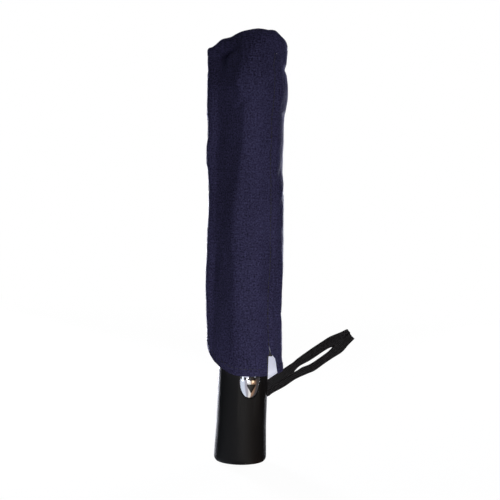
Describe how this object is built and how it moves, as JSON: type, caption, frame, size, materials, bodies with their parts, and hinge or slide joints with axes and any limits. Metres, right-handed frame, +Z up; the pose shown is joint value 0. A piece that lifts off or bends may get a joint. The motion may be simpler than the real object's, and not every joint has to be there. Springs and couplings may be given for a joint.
{
  "type": "folding umbrella",
  "caption": "Closed folding umbrella in a slip-on cloth sleeve, with a black push-button handle and a wrist loop; opens on hinged ribs and a telescopic shaft.",
  "frame": {"origin": "middle of the flat base of the handle, on the axis of the shaft", "axes": "+Z up the shaft to the ferrule, -Y out of the face of the press button, +X the side the wrist strap leaves from"},
  "size_m": [0.1219, 0.0504, 0.305],
  "materials": {
    "grip": "soft-touch satin black with a fine grain",
    "plastic": "matt black moulding",
    "chrome": "bright plated, domed",
    "arrows": "black fill",
    "steel": "zinc plated wire and pins",
    "tube": "plated steel tube",
    "rib_steel": "black coated folded steel",
    "canopy": "thin water-repellent navy pongee",
    "sleeve": "navy pongee with a fine weave",
    "webbing": "black woven webbing"
  },
  "bodies": {
    "handle": {"grip_shell": "grip", "end_cap": "plastic", "handle_core": "plastic", "tip_cup": "plastic", "outer_tube": "tube", "outer_bush": "plastic", "strap_pin": "steel", "latch_pin": "steel", "button_spring": "steel", "shaft_spring": "steel"},
    "button": {"press_button": "chrome", "button_arrows": "arrows"},
    "latch": {"latch_lever": "steel"},
    "strap": {"wrist_strap": "webbing"},
    "middle_shaft": {"middle_tube": "tube", "middle_bush": "plastic"},
    "crown": {"inner_tube": "tube", "crown_notch": "plastic", "crown_ring_wire": "steel", "canopy": "canopy", "canopy_washer": "steel", "ferrule_cap": "plastic"},
    "runner": {"runner": "plastic", "runner_ring_wire": "steel"},
    "sleeve": {"sleeve": "sleeve"},
    "rib_top_1": {"rib_top_1": "rib_steel"},
    "stretcher_1": {"stretcher_1": "rib_steel"},
    "rib_middle_1": {"rib_middle_1": "rib_steel"},
    "rib_end_1": {"rib_end_1": "rib_steel", "closure_strap": "canopy"},
    "rib_top_2": {"rib_top_2": "rib_steel"},
    "stretcher_2": {"stretcher_2": "rib_steel"},
    "rib_middle_2": {"rib_middle_2": "rib_steel"},
    "rib_end_2": {"rib_end_2": "rib_steel"},
    "rib_top_3": {"rib_top_3": "rib_steel"},
    "stretcher_3": {"stretcher_3": "rib_steel"},
    "rib_middle_3": {"rib_middle_3": "rib_steel"},
    "rib_end_3": {"rib_end_3": "rib_steel"},
    "rib_top_4": {"rib_top_4": "rib_steel"},
    "stretcher_4": {"stretcher_4": "rib_steel"},
    "rib_middle_4": {"rib_middle_4": "rib_steel"},
    "rib_end_4": {"rib_end_4": "rib_steel"},
    "rib_top_5": {"rib_top_5": "rib_steel"},
    "stretcher_5": {"stretcher_5": "rib_steel"},
    "rib_middle_5": {"rib_middle_5": "rib_steel"},
    "rib_end_5": {"rib_end_5": "rib_steel"},
    "rib_top_6": {"rib_top_6": "rib_steel"},
    "stretcher_6": {"stretcher_6": "rib_steel"},
    "rib_middle_6": {"rib_middle_6": "rib_steel"},
    "rib_end_6": {"rib_end_6": "rib_steel"},
    "rib_top_7": {"rib_top_7": "rib_steel"},
    "stretcher_7": {"stretcher_7": "rib_steel"},
    "rib_middle_7": {"rib_middle_7": "rib_steel"},
    "rib_end_7": {"rib_end_7": "rib_steel"},
    "rib_top_8": {"rib_top_8": "rib_steel"},
    "stretcher_8": {"stretcher_8": "rib_steel"},
    "rib_middle_8": {"rib_middle_8": "rib_steel"},
    "rib_end_8": {"rib_end_8": "rib_steel"}
  },
  "joints": [
    {"name": "button_press", "type": "slide", "parent": "handle", "child": "button", "axis": [0, 1, 0], "range_m": [0, 0.0015], "stiffness_N_per_m": 200, "deforming": ["button_spring"]},
    {"name": "latch_turn", "type": "hinge", "parent": "handle", "child": "latch", "pos_m": [0, -0.0106, 0.042], "axis": [-1, 0, 0], "range_deg": [0, 11]},
    {"name": "strap_swing", "type": "hinge", "parent": "handle", "child": "strap", "pos_m": [0.0106, 0, 0.0515], "axis": [0, 1, 0], "range_deg": [0, 60]},
    {"name": "shaft_extend", "type": "slide", "parent": "handle", "child": "middle_shaft", "axis": [0, 0, 1], "range_m": [0, 0.145], "deforming": ["shaft_spring"]},
    {"name": "inner_tube_extend", "type": "slide", "parent": "middle_shaft", "child": "crown", "axis": [0, 0, 1], "range_m": [0, 0.145]},
    {"name": "sleeve_slide", "type": "slide", "parent": "crown", "child": "sleeve", "axis": [0, 0, 1], "range_m": [0, 0.25], "deforming": ["sleeve"]},
    {"name": "canopy_open", "type": "hinge", "parent": "crown", "child": "rib_top_1", "pos_m": [0.00924, 0.00383, 0.284], "axis": [0.3827, -0.9239, 0], "range_deg": [0, 80], "deforming": ["canopy", "closure_strap"]},
    {"name": "stretcher_1_hinge", "type": "hinge", "parent": "rib_top_1", "child": "stretcher_1", "pos_m": [0.00924, 0.00383, 0.196], "axis": [0.3827, -0.9239, 0], "range_deg": [-160, 0]},
    {"name": "rib_middle_1_hinge", "type": "hinge", "parent": "rib_top_1", "child": "rib_middle_1", "pos_m": [0.01256, 0.0052, 0.119], "axis": [0.3827, -0.9239, 0], "range_deg": [-188, 0]},
    {"name": "rib_end_1_hinge", "type": "hinge", "parent": "rib_middle_1", "child": "rib_end_1", "pos_m": [0.01552, 0.00643, 0.269], "axis": [0.3827, -0.9239, 0], "range_deg": [0, 170]},
    {"name": "runner_hinge", "type": "hinge", "parent": "stretcher_1", "child": "runner", "pos_m": [0.00924, 0.00383, 0.108], "axis": [0.3827, -0.9239, 0], "range_deg": [0, 80]},
    {"name": "rib_top_2_hinge", "type": "hinge", "parent": "crown", "child": "rib_top_2", "pos_m": [0.00383, 0.00924, 0.284], "axis": [0.9239, -0.3827, 0], "range_deg": [0, 80]},
    {"name": "stretcher_2_hinge", "type": "hinge", "parent": "rib_top_2", "child": "stretcher_2", "pos_m": [0.00383, 0.00924, 0.196], "axis": [0.9239, -0.3827, 0], "range_deg": [-160, 0]},
    {"name": "rib_middle_2_hinge", "type": "hinge", "parent": "rib_top_2", "child": "rib_middle_2", "pos_m": [0.0052, 0.01256, 0.119], "axis": [0.9239, -0.3827, 0], "range_deg": [-188, 0]},
    {"name": "rib_end_2_hinge", "type": "hinge", "parent": "rib_middle_2", "child": "rib_end_2", "pos_m": [0.00643, 0.01552, 0.269], "axis": [0.9239, -0.3827, 0], "range_deg": [0, 170]},
    {"name": "rib_top_3_hinge", "type": "hinge", "parent": "crown", "child": "rib_top_3", "pos_m": [-0.00383, 0.00924, 0.284], "axis": [0.9239, 0.3827, 0], "range_deg": [0, 80]},
    {"name": "stretcher_3_hinge", "type": "hinge", "parent": "rib_top_3", "child": "stretcher_3", "pos_m": [-0.00383, 0.00924, 0.196], "axis": [0.9239, 0.3827, 0], "range_deg": [-160, 0]},
    {"name": "rib_middle_3_hinge", "type": "hinge", "parent": "rib_top_3", "child": "rib_middle_3", "pos_m": [-0.0052, 0.01256, 0.119], "axis": [0.9239, 0.3827, 0], "range_deg": [-188, 0]},
    {"name": "rib_end_3_hinge", "type": "hinge", "parent": "rib_middle_3", "child": "rib_end_3", "pos_m": [-0.00643, 0.01552, 0.269], "axis": [0.9239, 0.3827, 0], "range_deg": [0, 170]},
    {"name": "rib_top_4_hinge", "type": "hinge", "parent": "crown", "child": "rib_top_4", "pos_m": [-0.00924, 0.00383, 0.284], "axis": [0.3827, 0.9239, 0], "range_deg": [0, 80]},
    {"name": "stretcher_4_hinge", "type": "hinge", "parent": "rib_top_4", "child": "stretcher_4", "pos_m": [-0.00924, 0.00383, 0.196], "axis": [0.3827, 0.9239, 0], "range_deg": [-160, 0]},
    {"name": "rib_middle_4_hinge", "type": "hinge", "parent": "rib_top_4", "child": "rib_middle_4", "pos_m": [-0.01256, 0.0052, 0.119], "axis": [0.3827, 0.9239, 0], "range_deg": [-188, 0]},
    {"name": "rib_end_4_hinge", "type": "hinge", "parent": "rib_middle_4", "child": "rib_end_4", "pos_m": [-0.01552, 0.00643, 0.269], "axis": [0.3827, 0.9239, 0], "range_deg": [0, 170]},
    {"name": "rib_top_5_hinge", "type": "hinge", "parent": "crown", "child": "rib_top_5", "pos_m": [-0.00924, -0.00383, 0.284], "axis": [-0.3827, 0.9239, 0], "range_deg": [0, 80]},
    {"name": "stretcher_5_hinge", "type": "hinge", "parent": "rib_top_5", "child": "stretcher_5", "pos_m": [-0.00924, -0.00383, 0.196], "axis": [-0.3827, 0.9239, 0], "range_deg": [-160, 0]},
    {"name": "rib_middle_5_hinge", "type": "hinge", "parent": "rib_top_5", "child": "rib_middle_5", "pos_m": [-0.01256, -0.0052, 0.119], "axis": [-0.3827, 0.9239, 0], "range_deg": [-188, 0]},
    {"name": "rib_end_5_hinge", "type": "hinge", "parent": "rib_middle_5", "child": "rib_end_5", "pos_m": [-0.01552, -0.00643, 0.269], "axis": [-0.3827, 0.9239, 0], "range_deg": [0, 170]},
    {"name": "rib_top_6_hinge", "type": "hinge", "parent": "crown", "child": "rib_top_6", "pos_m": [-0.00383, -0.00924, 0.284], "axis": [-0.9239, 0.3827, 0], "range_deg": [0, 80]},
    {"name": "stretcher_6_hinge", "type": "hinge", "parent": "rib_top_6", "child": "stretcher_6", "pos_m": [-0.00383, -0.00924, 0.196], "axis": [-0.9239, 0.3827, 0], "range_deg": [-160, 0]},
    {"name": "rib_middle_6_hinge", "type": "hinge", "parent": "rib_top_6", "child": "rib_middle_6", "pos_m": [-0.0052, -0.01256, 0.119], "axis": [-0.9239, 0.3827, 0], "range_deg": [-188, 0]},
    {"name": "rib_end_6_hinge", "type": "hinge", "parent": "rib_middle_6", "child": "rib_end_6", "pos_m": [-0.00643, -0.01552, 0.269], "axis": [-0.9239, 0.3827, 0], "range_deg": [0, 170]},
    {"name": "rib_top_7_hinge", "type": "hinge", "parent": "crown", "child": "rib_top_7", "pos_m": [0.00383, -0.00924, 0.284], "axis": [-0.9239, -0.3827, 0], "range_deg": [0, 80]},
    {"name": "stretcher_7_hinge", "type": "hinge", "parent": "rib_top_7", "child": "stretcher_7", "pos_m": [0.00383, -0.00924, 0.196], "axis": [-0.9239, -0.3827, 0], "range_deg": [-160, 0]},
    {"name": "rib_middle_7_hinge", "type": "hinge", "parent": "rib_top_7", "child": "rib_middle_7", "pos_m": [0.0052, -0.01256, 0.119], "axis": [-0.9239, -0.3827, 0], "range_deg": [-188, 0]},
    {"name": "rib_end_7_hinge", "type": "hinge", "parent": "rib_middle_7", "child": "rib_end_7", "pos_m": [0.00643, -0.01552, 0.269], "axis": [-0.9239, -0.3827, 0], "range_deg": [0, 170]},
    {"name": "rib_top_8_hinge", "type": "hinge", "parent": "crown", "child": "rib_top_8", "pos_m": [0.00924, -0.00383, 0.284], "axis": [-0.3827, -0.9239, 0], "range_deg": [0, 80]},
    {"name": "stretcher_8_hinge", "type": "hinge", "parent": "rib_top_8", "child": "stretcher_8", "pos_m": [0.00924, -0.00383, 0.196], "axis": [-0.3827, -0.9239, 0], "range_deg": [-160, 0]},
    {"name": "rib_middle_8_hinge", "type": "hinge", "parent": "rib_top_8", "child": "rib_middle_8", "pos_m": [0.01256, -0.0052, 0.119], "axis": [-0.3827, -0.9239, 0], "range_deg": [-188, 0]},
    {"name": "rib_end_8_hinge", "type": "hinge", "parent": "rib_middle_8", "child": "rib_end_8", "pos_m": [0.01552, -0.00643, 0.269], "axis": [-0.3827, -0.9239, 0], "range_deg": [0, 170]}
  ],
  "couplings": [
    {"joint": "latch_turn", "follows": "button_press", "rad_per_m": 125},
    {"joint": "inner_tube_extend", "follows": "shaft_extend", "ratio": 1},
    {"joint": "runner_hinge", "follows": "canopy_open", "ratio": 1},
    {"joint": "stretcher_1_hinge", "follows": "canopy_open", "ratio": -2},
    {"joint": "rib_middle_1_hinge", "follows": "canopy_open", "ratio": -2.35},
    {"joint": "rib_end_1_hinge", "follows": "canopy_open", "ratio": 2.125},
    {"joint": "rib_top_2_hinge", "follows": "canopy_open", "ratio": 1},
    {"joint": "stretcher_2_hinge", "follows": "canopy_open", "ratio": -2},
    {"joint": "rib_middle_2_hinge", "follows": "canopy_open", "ratio": -2.35},
    {"joint": "rib_end_2_hinge", "follows": "canopy_open", "ratio": 2.125},
    {"joint": "rib_top_3_hinge", "follows": "canopy_open", "ratio": 1},
    {"joint": "stretcher_3_hinge", "follows": "canopy_open", "ratio": -2},
    {"joint": "rib_middle_3_hinge", "follows": "canopy_open", "ratio": -2.35},
    {"joint": "rib_end_3_hinge", "follows": "canopy_open", "ratio": 2.125},
    {"joint": "rib_top_4_hinge", "follows": "canopy_open", "ratio": 1},
    {"joint": "stretcher_4_hinge", "follows": "canopy_open", "ratio": -2},
    {"joint": "rib_middle_4_hinge", "follows": "canopy_open", "ratio": -2.35},
    {"joint": "rib_end_4_hinge", "follows": "canopy_open", "ratio": 2.125},
    {"joint": "rib_top_5_hinge", "follows": "canopy_open", "ratio": 1},
    {"joint": "stretcher_5_hinge", "follows": "canopy_open", "ratio": -2},
    {"joint": "rib_middle_5_hinge", "follows": "canopy_open", "ratio": -2.35},
    {"joint": "rib_end_5_hinge", "follows": "canopy_open", "ratio": 2.125},
    {"joint": "rib_top_6_hinge", "follows": "canopy_open", "ratio": 1},
    {"joint": "stretcher_6_hinge", "follows": "canopy_open", "ratio": -2},
    {"joint": "rib_middle_6_hinge", "follows": "canopy_open", "ratio": -2.35},
    {"joint": "rib_end_6_hinge", "follows": "canopy_open", "ratio": 2.125},
    {"joint": "rib_top_7_hinge", "follows": "canopy_open", "ratio": 1},
    {"joint": "stretcher_7_hinge", "follows": "canopy_open", "ratio": -2},
    {"joint": "rib_middle_7_hinge", "follows": "canopy_open", "ratio": -2.35},
    {"joint": "rib_end_7_hinge", "follows": "canopy_open", "ratio": 2.125},
    {"joint": "rib_top_8_hinge", "follows": "canopy_open", "ratio": 1},
    {"joint": "stretcher_8_hinge", "follows": "canopy_open", "ratio": -2},
    {"joint": "rib_middle_8_hinge", "follows": "canopy_open", "ratio": -2.35},
    {"joint": "rib_end_8_hinge", "follows": "canopy_open", "ratio": 2.125}
  ]
}
